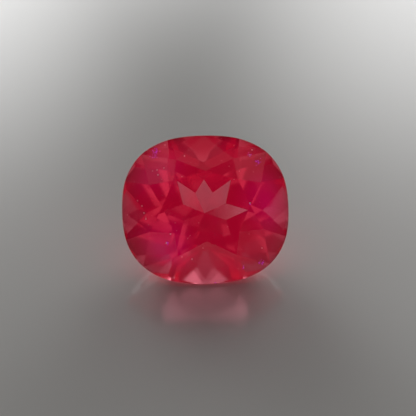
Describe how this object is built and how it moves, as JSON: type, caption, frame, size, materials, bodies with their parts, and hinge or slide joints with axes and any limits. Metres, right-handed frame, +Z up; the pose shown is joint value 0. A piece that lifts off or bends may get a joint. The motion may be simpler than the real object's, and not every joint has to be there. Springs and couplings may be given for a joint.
{
  "type": "cushion-cut spinel gemstone",
  "caption": "Faceted cushion-cut red spinel lying on a broad pavilion facet, table facing forward and up.",
  "frame": {"origin": "on the supporting surface, under the centre of the bounding box", "axes": "+Z up, +X along the stone's length, the table faces -Y and up, the culet points to +Y and down"},
  "size_m": [0.008, 0.0056, 0.0057],
  "materials": {
    "spinel": "polished clear red crystal, index 1.718"
  },
  "bodies": {
    "root": {"spinel": "spinel"}
  },
  "joints": []
}
